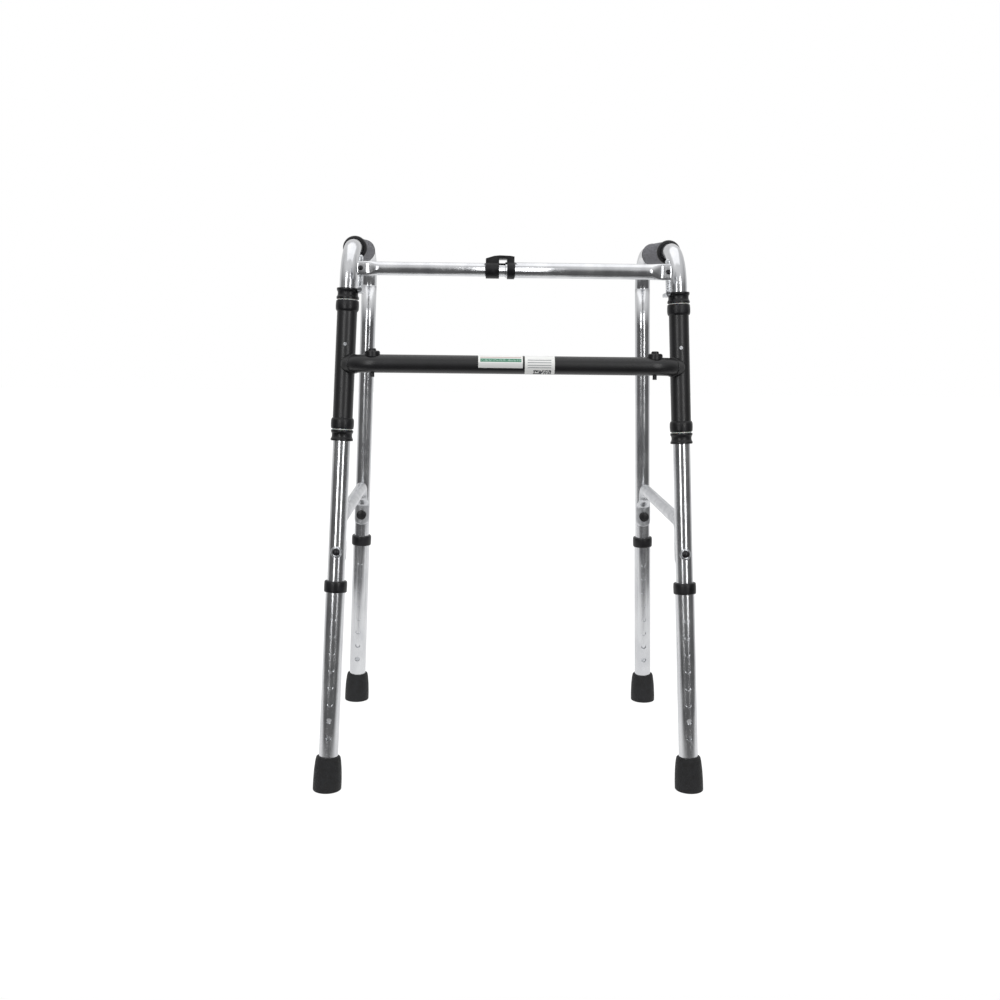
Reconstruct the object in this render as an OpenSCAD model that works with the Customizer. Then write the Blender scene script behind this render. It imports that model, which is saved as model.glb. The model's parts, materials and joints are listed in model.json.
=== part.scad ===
// Folding walking frame: two bent side frames hinged on a rigid cross frame,
// with four telescopic legs, two fold releases and a telescopic top bar.
// +X is to the right seen from the front, +Y runs from the front to the user, +Z is up.

/* [Stance] */
// Distance between the front leg axes at the floor
front_track = 543; // [500:1:600]
// Distance from the front leg axes to the rear leg axes at the floor
base_depth = 426; // [400:1:470]
// Backward lean of the front legs, in degrees
front_lean = 5.85; // [5:0.05:7]
// Inward lean of each front leg, in degrees
front_splay = 2.3; // [1.5:0.1:3]
// Turn of each side frame about its front leg, in degrees
side_turn = 1.2; // [0:0.1:2]
// Angle between the front leg and the rear leg of one side frame, in degrees
leg_spread = 8.13; // [6:0.01:9]
// Height of the handle axis above the floor
handle_h = 797; // [780:1:850]

/* [Side frame tube] */
// Outside diameter of the bent side tube
leg_od = 25.4; // [24:0.1:27]
// Wall of the bent side tube
leg_wall = 1.4; // [1.2:0.1:2]
// Centre-line radius of the two handle corners
corner_r = 58; // [52:1:62]
// Distance of the side tube's open ends from the floor, along the leg
tube_low = 60; // [50:1:66]

/* [Telescopic legs] */
// Wall of the lower leg tubes
lower_wall = 1.52; // [1.2:0.02:2.4]
// Radial clearance of everything that slides or turns on the side tube
run_gap = 0.08; // [0.02:0.01:0.1]
// Distance of the lower leg's bottom end from the floor
lower_low = 8; // [6:1:10]
// Distance of the middle of the front leg collars from the floor
front_collar_h = 304.5; // [290:0.5:320]
// Distance of the middle of the rear leg collars from the floor
rear_collar_h = 297.5; // [290:0.5:320]
// Wall of the leg collars
collar_wall = 2.7; // [2:0.1:4]
// Length of the leg collars
collar_len = 17; // [14:0.5:20]
// Distance of the snap buttons from the floor
snap_h = 80; // [76:1:90]
// Pitch of the height holes
hole_pitch = 25.4; // [20:0.1:25.4]
// Number of height holes in each lower leg
hole_count = 8; // [5:1:8]
// Diameter of the snap buttons
snap_d = 8; // [6:0.5:9]

/* [Feet] */
// Length of the rubber feet
foot_len = 50; // [44:1:56]
// Wall of the rubber feet at their mouth
foot_wall = 4.7; // [3:0.1:6]
// Widening of the rubber feet from their mouth to their base, on the radius
foot_flare = 2.3; // [1:0.1:5]

/* [Handles] */
// Wall of the handgrips
grip_wall = 4.3; // [3:0.1:6]
// Length of the handgrips
grip_len = 140; // [110:1:145]
// Distance of the grip from the front corner point of the handle
grip_start = 73; // [66:1:80]
// Height of the flange at the front of each grip above the grip
flange_rise = 2.5; // [1.5:0.1:4]
// Thickness of the flange at the front of each grip
flange_t = 6; // [4:0.5:8]

/* [Braces] */
// Diameter of the brace tube between the legs
brace_d = 19; // [16:0.5:20]
// Height of the brace axis above the floor
brace_h = 396; // [390:1:430]
// Distance of the front brace bolt from the floor, along the leg
front_bolt_h = 356; // [350:1:360]
// Distance of the rear brace bolt from the floor, along the leg
rear_bolt_h = 346; // [340:1:350]
// Thickness of the flattened brace ends
saddle_t = 2.4; // [1.6:0.2:3]
// Diameter of the brace bolts
bolt_d = 6.5; // [5:0.5:8]
// Diameter of the caps over the brace bolts
cap_d = 16.6; // [14:0.2:18]

/* [Hinge sleeves] */
// Thickness of the bushing liners inside the hinge sleeves
liner_t = 0.62; // [0.5:0.02:1.5]
// Wall of the hinge sleeves
sleeve_wall = 1.2; // [0.8:0.1:1.3]
// Distance of the upper end of the hinge below the corner point of the handle
hinge_drop = 77.8; // [77:0.1:90]
// Length of the hinge with its bushings
hinge_len = 187; // [170:1:195]
// Height of the flange on each sleeve bushing
bush_h = 16; // [12:1:20]
// Height of the flange on each sleeve bushing above the sleeve
bush_rise = 2.4; // [1.5:0.1:3.5]

/* [Cross tubes] */
// Diameter of the lower cross tube
bar_od = 26.4; // [24:0.2:28]
// Wall of the lower cross tube
bar_wall = 1.5; // [1.2:0.1:2]
// Distance of the lower cross tube below the upper end of the hinge
bar_drop = 92.4; // [80:0.1:105]
// Room between the lower cross tube and a folded leg
bar_gap = 6.1; // [5.2:0.1:10]
// Direction of the cross tube's ends, in degrees from straight ahead
bar_angle = 42; // [36:1:46]
// Centre-line radius of the bends near its ends
bar_bend_r = 42; // [38:1:46]
// Distance of the top bar above the upper end of the hinge
top_rise = 43.9; // [40:0.1:48]
// Room between the top bar and a folded leg
top_gap = 2.1; // [1.6:0.1:4]
// Diameter of the thinner tube of the top bar
top_inner_d = 19.4; // [17:0.1:20]
// Wall of the tubes of the top bar
top_wall = 1.42; // [1:0.01:2]

/* [Fold release] */
// Distance of each release button from its hinge axis, along the cross tube
button_x = 42; // [40:0.5:46]
// Diameter of the release buttons
button_d = 11; // [9:0.5:12]
// Wall of the guide around each release button
guide_wall = 5.2; // [3:0.1:6]
// Travel of the release buttons
button_travel = 4; // [3:0.5:4]
// Diameter of the button stems
stem_d = 6; // [5:0.5:6.5]
// Diameter of the lock pins
pin_d = 6; // [5:0.5:7]
// Travel of the lock pins
pin_travel = 5; // [4:0.5:5]
// Fold of the left side frame, in degrees
left_fold = 86; // [60:1:88]
// Fold of the right side frame, in degrees
right_fold = 70; // [50:1:72]

/* [Bar clip] */
// Length of the clip along the top bar
clip_len = 41; // [36:1:46]
// Height of the clip's bridge above the bar axis
clip_top = 20; // [18:0.5:24]

/* [Hidden] */
$fn = 64;
eps = 0.01;
seam_len = 1;
seam_rise = 0.04;
seam_gap = 3;
far = 2000;
fit_gap = 0.3;
turn_gap = 0.2;
leg_r = leg_od / 2;
run_r = leg_r + run_gap;
lower_r = run_r + lower_wall;
collar_r = lower_r + collar_wall;
foot_top_r = lower_r + foot_wall;
foot_base_r = foot_top_r + foot_flare;
grip_r = leg_r + grip_wall;
flange_r = grip_r + flange_rise;
sleeve_bore_r = run_r + liner_t;
sleeve_r = sleeve_bore_r + sleeve_wall;
bush_r = sleeve_r + bush_rise;
bar_r = bar_od / 2;
bar_offset = leg_r + bar_r + bar_gap;

// Directions of the front legs and of the floor, seen in the plane of one side frame
along = 1 / (cos(front_lean) * cos(front_splay));
floor_rise = (cos(side_turn) * tan(front_lean) + sin(side_turn) * sin(front_splay)) / cos(front_splay);
floor_tilt = atan(floor_rise);
rear_y = base_depth * cos(front_lean) / cos(side_turn);
rear_z = rear_y * floor_rise;

// Side tube: front straight, front corner, handle, rear corner, rear straight
front_turn = 90 - floor_tilt;
rear_turn = 90 + floor_tilt - leg_spread;
front_tan = corner_r * tan(front_turn / 2);
rear_tan = corner_r * tan(rear_turn / 2);
corner_z = handle_h * along;
hinge_high = corner_z - hinge_drop;
hinge_low = hinge_high - hinge_len;
bar_w = hinge_high * cos(front_splay) - bar_drop;
top_w = hinge_high * cos(front_splay) + top_rise;
handle_len = (rear_y * cos(leg_spread) - (corner_z - rear_z) * sin(leg_spread))
    / cos(leg_spread - floor_tilt);
rear_len = (corner_z + handle_len * sin(floor_tilt) - rear_z) / cos(leg_spread);

// Telescopic legs: their height holes, and the lip of their collars
snap_hole_d = snap_d + 0.6;
lip = 3;

// Brace: two upright ends bent over onto one straight axis in the plane of the side frame
brace_z = brace_h * along;
brace_r = brace_d / 2;
brace_bore_r = brace_r - 1.2;
brace_bend_r = 16;
brace_stub = 14;
saddle_r = leg_r + saddle_t;
saddle_low = 18;
cap_t = 6;
brace_start = leg_r + fit_gap + brace_r;
front_brace_tan = brace_bend_r * tan(front_turn / 2);
rear_brace_tan = brace_bend_r * tan(rear_turn / 2);
rear_brace_h = brace_z / (cos(leg_spread) + sin(leg_spread) * floor_rise)
    + brace_start * tan(leg_spread - floor_tilt);
front_brace_top = brace_z + brace_start * floor_rise - front_brace_tan;
rear_brace_top = rear_brace_h - rear_brace_tan;
brace_span = (rear_y - rear_brace_h * sin(leg_spread) - brace_start * (cos(leg_spread) + 1))
    / cos(floor_tilt);

// Cross tube: its bends, and the places of the release button and the lock pin
bar_turn = 90 - bar_angle;
bar_tan = bar_bend_r * tan(bar_turn / 2);
bar_corner = bar_offset / cos(bar_angle);
bend_x = bar_offset * tan(bar_angle) + bar_tan;
post_x = front_track / 2 - bar_w * tan(front_splay);
button_v = -bar_offset + bar_bend_r - sqrt(pow(bar_bend_r, 2) - pow(bend_x - button_x, 2));
pin_angle = atan(button_x / -button_v);
pin_reach = sqrt(pow(button_x, 2) + pow(button_v, 2));
pin_nose = leg_r - leg_wall - 1.5;
pin_head_d = stem_d + 3.4;
slot_gap = 0.9;
guide_h = 5;
guide_seat = 5;
guide_r = button_d / 2 + fit_gap + guide_wall;
seat_gap = 0.4;
button_proud = button_travel - 0.5;
stem_proud = 6;
spring_wire = 0.9;
spring_turns = 5;

// Hinge sleeves: their set screws, and the liners of their bushings
screw_h = hinge_high - 64;
screw_r = 2.6;
liner_top = 64;
liner_low = 20;

// Top bar and the brackets that carry it
top_inner_r = top_inner_d / 2;
top_outer_r = top_inner_r + run_gap + top_wall;
top_offset = leg_r + top_outer_r + top_gap;
bar_joint_x = -14;
bar_overlap = 90;
fork_end = 12;
tongue_x = 19;
tongue_w = 9.5;
tongue_t = 6;
tongue_top = hinge_high + 65;
spool_h = 16;
spool_r = run_r + 3.62;
spool_waist_r = run_r + 2.02;
washer_t = 1.2;
rivet_d = 5;
top_post_x = front_track / 2 - top_w * tan(front_splay);
top_end_x = top_post_x - fork_end;
fork_x = top_post_x - tongue_x;

// Bar clip
clip_wide = 19;
clip_narrow = 10.5;
clip_depth = 17;
clip_wall = 1.9;
clip_right = -1;

// ---------- places ----------

// Plane that holds both front leg axes: X across, Y towards the user, Z up along the lean
module front_plane() translate([0, -base_depth / 2, 0]) rotate([-front_lean, 0, 0]) children();

// Front leg axis as Z, for what stays with the cross frame; side is -1 left, 1 right
module on_post(side) front_plane() translate([side * front_track / 2, 0, 0])
    rotate([0, -side * front_splay, 0]) children();

// The same axis for what turns with the side frame: Y lies in the side frame's plane
module on_front_leg(side) on_post(side) rotate([0, 0, side * side_turn]) children();

// Rear leg axis as Z, starting at the floor
module on_rear_leg(side) on_front_leg(side)
    translate([0, rear_y, rear_z]) rotate([leg_spread, 0, 0]) children();

// The end of the cross tube that meets one sleeve: Z leaves the hinge axis, Y is the way it bends
module on_bar_end(side, angle) front_plane() mirror([side > 0 ? 0 : 1, 0, 0])
    translate([post_x, 0, bar_w]) rotate([0, 0, -angle]) rotate([90, 0, 0]) rotate([0, 0, 90]) children();

// Axis of one release button
module on_button(side) front_plane() translate([side * (post_x - button_x), button_v, bar_w]) children();

// ---------- shapes ----------

// Straight tube along Z, then whatever follows at its end
module run(length, r, bore_r) {
    difference() {
        cylinder(h = length, r = r);
        translate([0, 0, -1]) cylinder(h = length + 2, r = bore_r);
    }
    translate([0, 0, length]) children();
}

// Tube bent towards +Y, with a fine seam at both ends, then whatever follows at its end
module bend(turn, bend_r, r, bore_r) {
    seam(r, bore_r);
    translate([0, bend_r, 0]) rotate([90, 0, -90]) rotate_extrude(angle = turn)
        translate([bend_r, 0]) difference() {
            circle(r);
            circle(bore_r);
        }
    translate([0, bend_r, 0]) rotate([-turn, 0, 0]) translate([0, -bend_r, 0]) {
        seam(r, bore_r);
        children();
    }
}

module seam(r, bore_r) translate([0, 0, -seam_len / 2]) tube(seam_len, r + seam_rise, bore_r - seam_rise);

module tube(length, outer_r, inner_r) difference() {
    cylinder(h = length, r = outer_r);
    translate([0, 0, -1]) cylinder(h = length + 2, r = inner_r);
}

// Rod across a leg along Y, from y_low to y_high
module cross_rod(r, y_low, y_high)
    translate([0, y_low, 0]) rotate([-90, 0, 0]) cylinder(h = y_high - y_low, r = r);

// Ring with chamfered edges around Z
module chamfered_ring(length, outer_r, inner_r, chamfer) rotate_extrude() polygon([
    [inner_r, 0], [outer_r - chamfer, 0], [outer_r, chamfer], [outer_r, length - chamfer],
    [outer_r - chamfer, length], [inner_r, length]
]);

// Low domed head on +Z
module domed_head(head_r, rise) {
    ball_r = (head_r * head_r + rise * rise) / (2 * rise);
    intersection() {
        translate([0, 0, rise - ball_r]) sphere(r = ball_r);
        translate([0, 0, -eps]) cylinder(h = rise + 1, r = head_r);
    }
}

// ---------- cross frame ----------

module post_core(side, r) on_post(side) cylinder(h = far, r = r);

module bar_middle() front_plane() translate([0, -bar_offset, bar_w]) rotate([0, 90, 0]) children();

module crossbar() color("#161616") difference() {
    union() {
        bar_middle() translate([0, 0, bend_x - post_x])
            tube(2 * (post_x - bend_x), bar_r, bar_r - bar_wall);
        for (side = [-1, 1]) on_bar_end(side, bar_angle)
            run(bar_corner - bar_tan, bar_r, bar_r - bar_wall)
            bend(bar_turn, bar_bend_r, bar_r, bar_r - bar_wall);
    }
    for (side = [-1, 1]) {
        post_core(side, sleeve_r);
        on_button(side) cylinder(h = far, r = button_d / 2 + fit_gap);
        on_button(side) translate([0, 0, -far]) cylinder(h = far, r = stem_d / 2 + run_gap);
    }
}

module hinge_sleeve(side) color("#141414") difference() {
    on_post(side) translate([0, 0, hinge_low + bush_h])
        tube(hinge_high - hinge_low - 2 * bush_h, sleeve_r, sleeve_bore_r);
    on_bar_end(side, pin_angle) cylinder(h = 30, r = pin_d / 2 + run_gap);
    on_post(side) translate([0, 0, screw_h]) cross_rod(screw_r, -20, 0);
}

// One bushing: a flange outside the sleeve and a liner inside it, with Z into the sleeve
module bushing(liner) {
    chamfered_ring(bush_h, bush_r, run_r, 2);
    translate([0, 0, bush_h - eps]) tube(liner, sleeve_bore_r, run_r);
}

module sleeve_bushings(side) color("#1a1a1a") on_post(side) difference() {
    union() {
        translate([0, 0, hinge_low]) bushing(liner_low);
        translate([0, 0, hinge_high]) mirror([0, 0, 1]) bushing(liner_top);
    }
    translate([0, 0, screw_h]) cross_rod(screw_r, -20, 0);
}

// Set screw through the sleeve and the liner of its upper bushing
module sleeve_screws() color("#8a8a8a") for (side = [-1, 1])
    on_post(side) translate([0, 0, screw_h]) difference() {
        cross_rod(screw_r, -sleeve_r - 0.5, -run_r - fit_gap);
        translate([-screw_r - 1, -sleeve_r - 1, -0.4]) cube([2 * screw_r + 2, 1.2, 0.8]);
    }

module crossbar_socket(side) color("#141414") difference() {
    on_bar_end(side, bar_angle) tube(23, bar_r + 1.6, bar_r);
    post_core(side, sleeve_r);
}

// Collar that turns on the leg, with the tongue that carries the top bar
module swivel_bracket(side) color("#181818") on_post(side) difference() {
    union() {
        translate([0, 0, hinge_high + washer_t + 2 * turn_gap]) spool();
        translate([-side * tongue_x - tongue_w / 2, -top_offset - tongue_t / 2, hinge_high + 5])
            cube([tongue_w, tongue_t, tongue_top - hinge_high - 5]);
        translate([-side * tongue_x - tongue_w / 2, -top_offset, hinge_high + 5])
            cube([tongue_w, top_offset - 7, 9]);
    }
    translate([0, 0, hinge_high - 20]) cylinder(h = 60, r = run_r);
    translate([-side * tongue_x, 0, top_w / cos(front_splay) + tongue_x * tan(front_splay)])
        cross_rod(rivet_d / 2, -60, 0);
}

module spool() rotate_extrude() polygon([
    [run_r, 0], [spool_r, 0], [spool_r, 3], [spool_waist_r, 6], [spool_waist_r, spool_h - 6],
    [spool_r, spool_h - 3], [spool_r, spool_h], [run_r, spool_h]
]);

module top_tube(x_low, x_high, outer_r, inner_r) translate([x_low, -top_offset, top_w])
    rotate([0, 90, 0]) tube(x_high - x_low, outer_r, inner_r);

// Slot and rivet hole that make one end of the top bar a fork around its tongue
module fork_cut(side) {
    slot = tongue_t + 2 * fit_gap;
    translate([side * (fork_x + far / 2 - tongue_w / 2 - 2), -top_offset, top_w])
        cube([far, slot, 60], center = true);
    translate([side * fork_x, -top_offset, top_w]) cross_rod(rivet_d / 2, -60, 60);
}

module top_bar_inner_tube() color("#c9ccd0") front_plane() difference() {
    top_tube(-top_end_x, bar_joint_x + bar_overlap, top_inner_r, top_inner_r - top_wall);
    fork_cut(-1);
}

module top_bar_outer_tube() color("#c9ccd0") front_plane() difference() {
    top_tube(bar_joint_x, top_end_x, top_outer_r, top_outer_r - top_wall);
    fork_cut(1);
}

module top_bar_rivets() color("#3a3a3c") front_plane() for (side = [-1, 1])
    translate([side * fork_x, -top_offset, top_w]) {
        reach = (side < 0 ? top_inner_r : top_outer_r) + 0.4;
        cross_rod(rivet_d / 2, -reach, reach);
        for (end = [-1, 1]) rotate([-90 * end, 0, 0]) translate([0, 0, reach]) domed_head(4, 1.8);
    }

// Guide seated on the cross tube where it bends
module button_guide(side) color("#1c1c1c") difference() {
    on_button(side) translate([0, 0, bar_r - guide_seat])
        chamfered_ring(guide_seat + guide_h, guide_r, button_d / 2 + fit_gap, 1.5);
    on_bar_end(side, bar_angle) translate([0, bar_bend_r, bar_corner - bar_tan])
        rotate([90, 0, -90]) rotate_extrude() translate([bar_bend_r, 0]) circle(bar_r + seat_gap);
}

// Printed label wrapped round the front of the cross tube
module label_wrap(x_low, x_high, from_angle, to_angle) front_plane()
    translate([x_low, -bar_offset, bar_w]) rotate([0, 90, 0]) rotate([0, 0, from_angle])
        rotate_extrude(angle = to_angle - from_angle) translate([bar_r, 0]) square([0.3, x_high - x_low]);

module left_label() color("#f2f4f2") label_wrap(-52, 12, 188, 292);

module right_label() color("#f4f4f4") label_wrap(15, 58, 188, 342);

// Slippery washers between the bushings and the collars above and below them
module thrust_washers() color("#d8d8d8") for (side = [-1, 1]) on_post(side) {
    translate([0, 0, hinge_high + turn_gap]) tube(washer_t, bush_r - 2.4, run_r);
    translate([0, 0, hinge_low - turn_gap - washer_t]) tube(washer_t, bush_r - 2.4, run_r);
}

// ---------- fold release ----------

module release_button(side) color("#202020") on_button(side) {
    top = bar_r + guide_h + button_proud;
    translate([0, 0, top - 1.5]) cylinder(h = 1.5, r1 = button_d / 2, r2 = button_d / 2 - 1);
    translate([0, 0, bar_r - 1]) cylinder(h = top - bar_r - 0.5 + eps, r = button_d / 2);
    translate([0, 0, -bar_r - stem_proud]) cylinder(h = 2 * bar_r + stem_proud, r = stem_d / 2);
}

// Coil of round wire around Z: rings of the wire's section, one after another along the helix
module coil(mean_r, wire_d, height, turns) {
    steps = 18;
    sides = 8;
    rings = turns * steps;
    points = [for (i = [0:rings], k = [0:sides - 1])
        let (a = 360 * i / steps, b = 360 * k / sides, r = mean_r + wire_d / 2 * cos(b))
        [r * cos(a), r * sin(a), wire_d / 2 + (height - wire_d) * i / rings + wire_d / 2 * sin(b)]];
    walls = [for (i = [0:rings - 1], k = [0:sides - 1])
        [i * sides + k, i * sides + (k + 1) % sides,
         (i + 1) * sides + (k + 1) % sides, (i + 1) * sides + k]];
    ends = [[for (k = [sides - 1:-1:0]) k], [for (k = [0:sides - 1]) rings * sides + k]];
    polyhedron(points = points, faces = concat(walls, ends));
}

module release_spring(side) color("#b8b8b8") on_button(side) {
    foot = pin_head_d / 2 + fit_gap;
    translate([0, 0, foot]) coil(stem_d / 2 + 0.9, spring_wire, bar_r - 1 - fit_gap - foot, spring_turns);
}

// Pin that holds the side frame open; its rear eye is long enough for its travel past the stem
module lock_pin(side) color("#a8a8a8") on_bar_end(side, pin_angle) difference() {
    union() {
        translate([0, 0, pin_nose]) cylinder(h = pin_reach - pin_nose, r = pin_d / 2);
        translate([0, 0, pin_reach - pin_travel - stem_d / 2 - 1.6])
            cylinder(h = pin_travel + stem_d + 3.2, r = pin_head_d / 2);
    }
    for (slide = [0, 1])
        translate([0, 0, pin_reach - slide * pin_travel]) rotate([0, 90, 0])
            cylinder(h = 60, r = stem_d / 2 + run_gap, center = true);
    translate([-30, -stem_d / 2 - run_gap, pin_reach - pin_travel])
        cube([60, stem_d + 2 * run_gap, pin_travel]);
}

// ---------- bar clip ----------

module bar_clip() color("#1b1b1b") front_plane() translate([0, -top_offset, top_w]) difference() {
    clip_left = clip_right - clip_len;
    narrow_left = clip_right - clip_narrow;
    union() {
        translate([clip_left, 0, 0]) rotate([0, 90, 0])
            cylinder(h = clip_wide, r = top_inner_r + clip_wall + 0.9);
        translate([narrow_left, 0, 0]) rotate([0, 90, 0])
            cylinder(h = clip_narrow, r = top_outer_r + clip_wall);
        rotate([90, 0, 0]) linear_extrude(height = clip_depth, center = true) polygon([
            [clip_left, 0], [clip_left, clip_top - 4.5], [clip_left + 12, clip_top - 0.8],
            [clip_left + 20, clip_top], [clip_right - 6, clip_top - 0.5], [clip_right, clip_top - 1.5],
            [clip_right, 0]
        ]);
    }
    translate([clip_left - 1, 0, 0]) rotate([0, 90, 0])
        cylinder(h = bar_joint_x - clip_left + 1, r = top_inner_r + run_gap);
    translate([bar_joint_x - fit_gap, 0, 0]) rotate([0, 90, 0]) cylinder(h = 40, r = top_outer_r + run_gap);
    translate([clip_left + clip_wide, -30, -30])
        cube([narrow_left - clip_left - clip_wide, 60, 30 + clip_top - 5]);
    translate([clip_left - 1, 0, -30]) cube([clip_len + 2, 30, 30 - 5]);
}

// ---------- side frames ----------

module side_path(r, bore_r) translate([0, 0, tube_low])
    run(corner_z - front_tan - tube_low, r, bore_r)
    bend(front_turn, corner_r, r, bore_r)
    run(handle_len - front_tan - rear_tan, r, bore_r)
    bend(rear_turn, corner_r, r, bore_r)
    run(rear_len - rear_tan - tube_low, r, bore_r);

// Slot round the leg in which the lock pin's nose runs while the side frame folds
module lock_slot(side, fold) {
    margin = asin((pin_d / 2 + fit_gap) / (leg_r - leg_wall)) + 1;
    slot_h = pin_d + 2 * slot_gap;
    start = side > 0 ? 270 - pin_angle - fold - margin : 270 + pin_angle - margin;
    translate([0, 0, bar_w / cos(front_splay) - slot_h / 2]) rotate([0, 0, start - side * side_turn])
        rotate_extrude(angle = fold + 2 * margin) translate([pin_nose - 1, 0]) square([6, slot_h]);
}

module side_tube(side) color("#cfd1d4") difference() {
    on_front_leg(side) side_path(leg_r, leg_r - leg_wall);
    on_front_leg(side) {
        translate([0, 0, snap_h]) cross_rod(snap_d / 2 + run_gap, -20, 0);
        translate([0, 0, front_bolt_h]) cross_rod(bolt_d / 2, -20, 20);
        lock_slot(side, side > 0 ? right_fold : left_fold);
    }
    on_rear_leg(side) {
        translate([0, 0, snap_h]) cross_rod(snap_d / 2 + run_gap, -20, 0);
        translate([0, 0, rear_bolt_h]) cross_rod(bolt_d / 2, -20, 20);
    }
}

// Handle axis as Z, starting at the front corner point
module on_handle(side) on_front_leg(side)
    translate([0, 0, corner_z]) rotate([floor_tilt - 90, 0, 0]) children();

module grip(side) color("#5c5c60") on_handle(side) translate([0, 0, grip_start])
    chamfered_ring(grip_len, grip_r, leg_r, 2);

module grip_flange(side) color("#161616") on_handle(side) translate([0, 0, grip_start - flange_t])
    chamfered_ring(flange_t, flange_r, leg_r, 1.8);

// Flattened end of a brace: a curved plate on the face of a leg, on its +Y side
module saddle(length) intersection() {
    tube(length, saddle_r, leg_r);
    translate([-saddle_r, leg_r * 0.3, -1]) cube([2 * saddle_r, saddle_r, length + 2]);
}

// Both ends of the brace bend over onto one straight axis in the plane of the side frame
module brace(side) color("#c4c6c8") difference() {
    on_front_leg(side) {
        translate([0, 0, front_bolt_h - saddle_low])
            saddle(front_brace_top - front_bolt_h + saddle_low - seam_gap);
        translate([0, brace_start, front_brace_top - brace_stub])
            run(brace_stub, brace_r, brace_bore_r)
            bend(front_turn, brace_bend_r, brace_r, brace_bore_r)
            run(brace_span - front_brace_tan - rear_brace_tan, brace_r, brace_bore_r)
            bend(rear_turn, brace_bend_r, brace_r, brace_bore_r) {
                run(brace_stub, brace_r, brace_bore_r);
                translate([0, -brace_start, seam_gap])
                    saddle(rear_brace_top - rear_bolt_h + saddle_low - seam_gap);
            }
    }
    on_front_leg(side) translate([0, 0, front_bolt_h]) cross_rod(bolt_d / 2, 0, 40);
    on_rear_leg(side) translate([0, 0, rear_bolt_h]) cross_rod(bolt_d / 2, -40, 0);
}

// Bolt through a leg and the saddle on its +Y side, with its low head on the -Y side
module brace_bolt() {
    cross_rod(bolt_d / 2, -leg_r - 0.4, saddle_r + 2);
    translate([0, -leg_r - 0.4, 0]) rotate([90, 0, 0]) domed_head(5.6, 2.2);
    cross_rod(bolt_d / 2 + 1.6, -leg_r - 0.4, -leg_r + 0.1);
}

module brace_bolts(side) color("#2a2a2c") {
    on_front_leg(side) translate([0, 0, front_bolt_h]) brace_bolt();
    on_rear_leg(side) translate([0, 0, rear_bolt_h]) mirror([0, 1, 0]) brace_bolt();
}

// Cap over the bolt's nut, seated on the saddle
module bolt_cap() difference() {
    translate([0, leg_r - 1, 0]) rotate([-90, 0, 0]) {
        cylinder(h = cap_t + saddle_t - 0.6, r = cap_d / 2);
        translate([0, 0, cap_t + saddle_t - 0.6 - eps]) domed_head(cap_d / 2, 1.6);
    }
    translate([0, 0, -40]) cylinder(h = 80, r = saddle_r);
    cross_rod(bolt_d / 2, 0, saddle_r + 2);
}

module bolt_caps(side) color("#1d1d1e") {
    on_front_leg(side) translate([0, 0, front_bolt_h]) bolt_cap();
    on_rear_leg(side) translate([0, 0, rear_bolt_h]) mirror([0, 1, 0]) bolt_cap();
}

module stop_collar(side) color("#181818") on_front_leg(side)
    translate([0, 0, hinge_low - washer_t - 2 * turn_gap - spool_h]) difference() {
        spool();
        translate([0, 0, -1]) cylinder(h = spool_h + 2, r = leg_r);
    }

// ---------- telescopic legs ----------

// Spring clip inside the end of the side tube: two leaves joined by a round end at the top
module snap_spring() {
    reach = leg_r - leg_wall;
    leaf_t = 0.8;
    leaf_w = 7;
    back = reach - 1.4;
    front = -reach + 3.2;
    mid = (back + front) / 2;
    top = 34;
    translate([-leaf_w / 2, back - leaf_t, -8]) cube([leaf_w, leaf_t, top + 8]);
    translate([-leaf_w / 2, front, -6]) cube([leaf_w, leaf_t, top + 6]);
    translate([-leaf_w / 2, mid, top]) rotate([90, 0, 90]) difference() {
        cylinder(h = leaf_w, r = (back - front) / 2);
        translate([0, 0, -1]) cylinder(h = leaf_w + 2, r = (back - front) / 2 - leaf_t);
        translate([-40, -80, -1]) cube([80, 80, leaf_w + 2]);
    }
    translate([0, 0, -4]) cross_rod(1.6, back - eps, reach + 0.02);
}

module snap_springs(side) color("#b4b6b8") {
    on_front_leg(side) translate([0, 0, snap_h]) snap_spring();
    on_rear_leg(side) translate([0, 0, snap_h]) snap_spring();
}

// Button of one leg, level with the side tube's wall and seated in front of its leaf
module snap_button() color("#8e9094") intersection() {
    translate([0, 0, snap_h]) cross_rod(snap_d / 2, -leg_r, -leg_r + leg_wall + 1.6);
    translate([0, 0, snap_h - 20]) cylinder(h = 40, r = leg_r);
}

module lower_leg(collar_h) color("#c6c8cc") difference() {
    translate([0, 0, lower_low]) tube(collar_h + collar_len / 2 - lip - lower_low, lower_r, run_r);
    for (i = [0:hole_count - 1])
        translate([0, 0, snap_h + i * hole_pitch]) cross_rod(snap_hole_d / 2, -20, 0);
}

// Cap ring on the open end of a lower leg, with a lip that guides the side tube
module leg_collar(collar_h) color("#1a1a1a") translate([0, 0, collar_h - collar_len / 2]) difference() {
    chamfered_ring(collar_len, collar_r, run_r, 2);
    translate([0, 0, -1]) cylinder(h = collar_len - lip + 1, r = lower_r);
}

module foot_body() rotate_extrude() polygon([
    [0, -8], [foot_base_r + 0.4, -8], [foot_base_r, 12], [foot_top_r + 0.6, foot_len - 5],
    [foot_top_r - 0.8, foot_len], [lower_r, foot_len], [lower_r, lower_low], [0, lower_low]
]);

module above_floor() intersection() {
    children();
    translate([-far / 2, -far / 2, 0]) cube([far, far, far]);
}

module front_foot(side) color("#151515") above_floor() on_front_leg(side) foot_body();

module rear_foot(side) color("#151515") above_floor() on_rear_leg(side) foot_body();

// ---------- parts ----------

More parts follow.
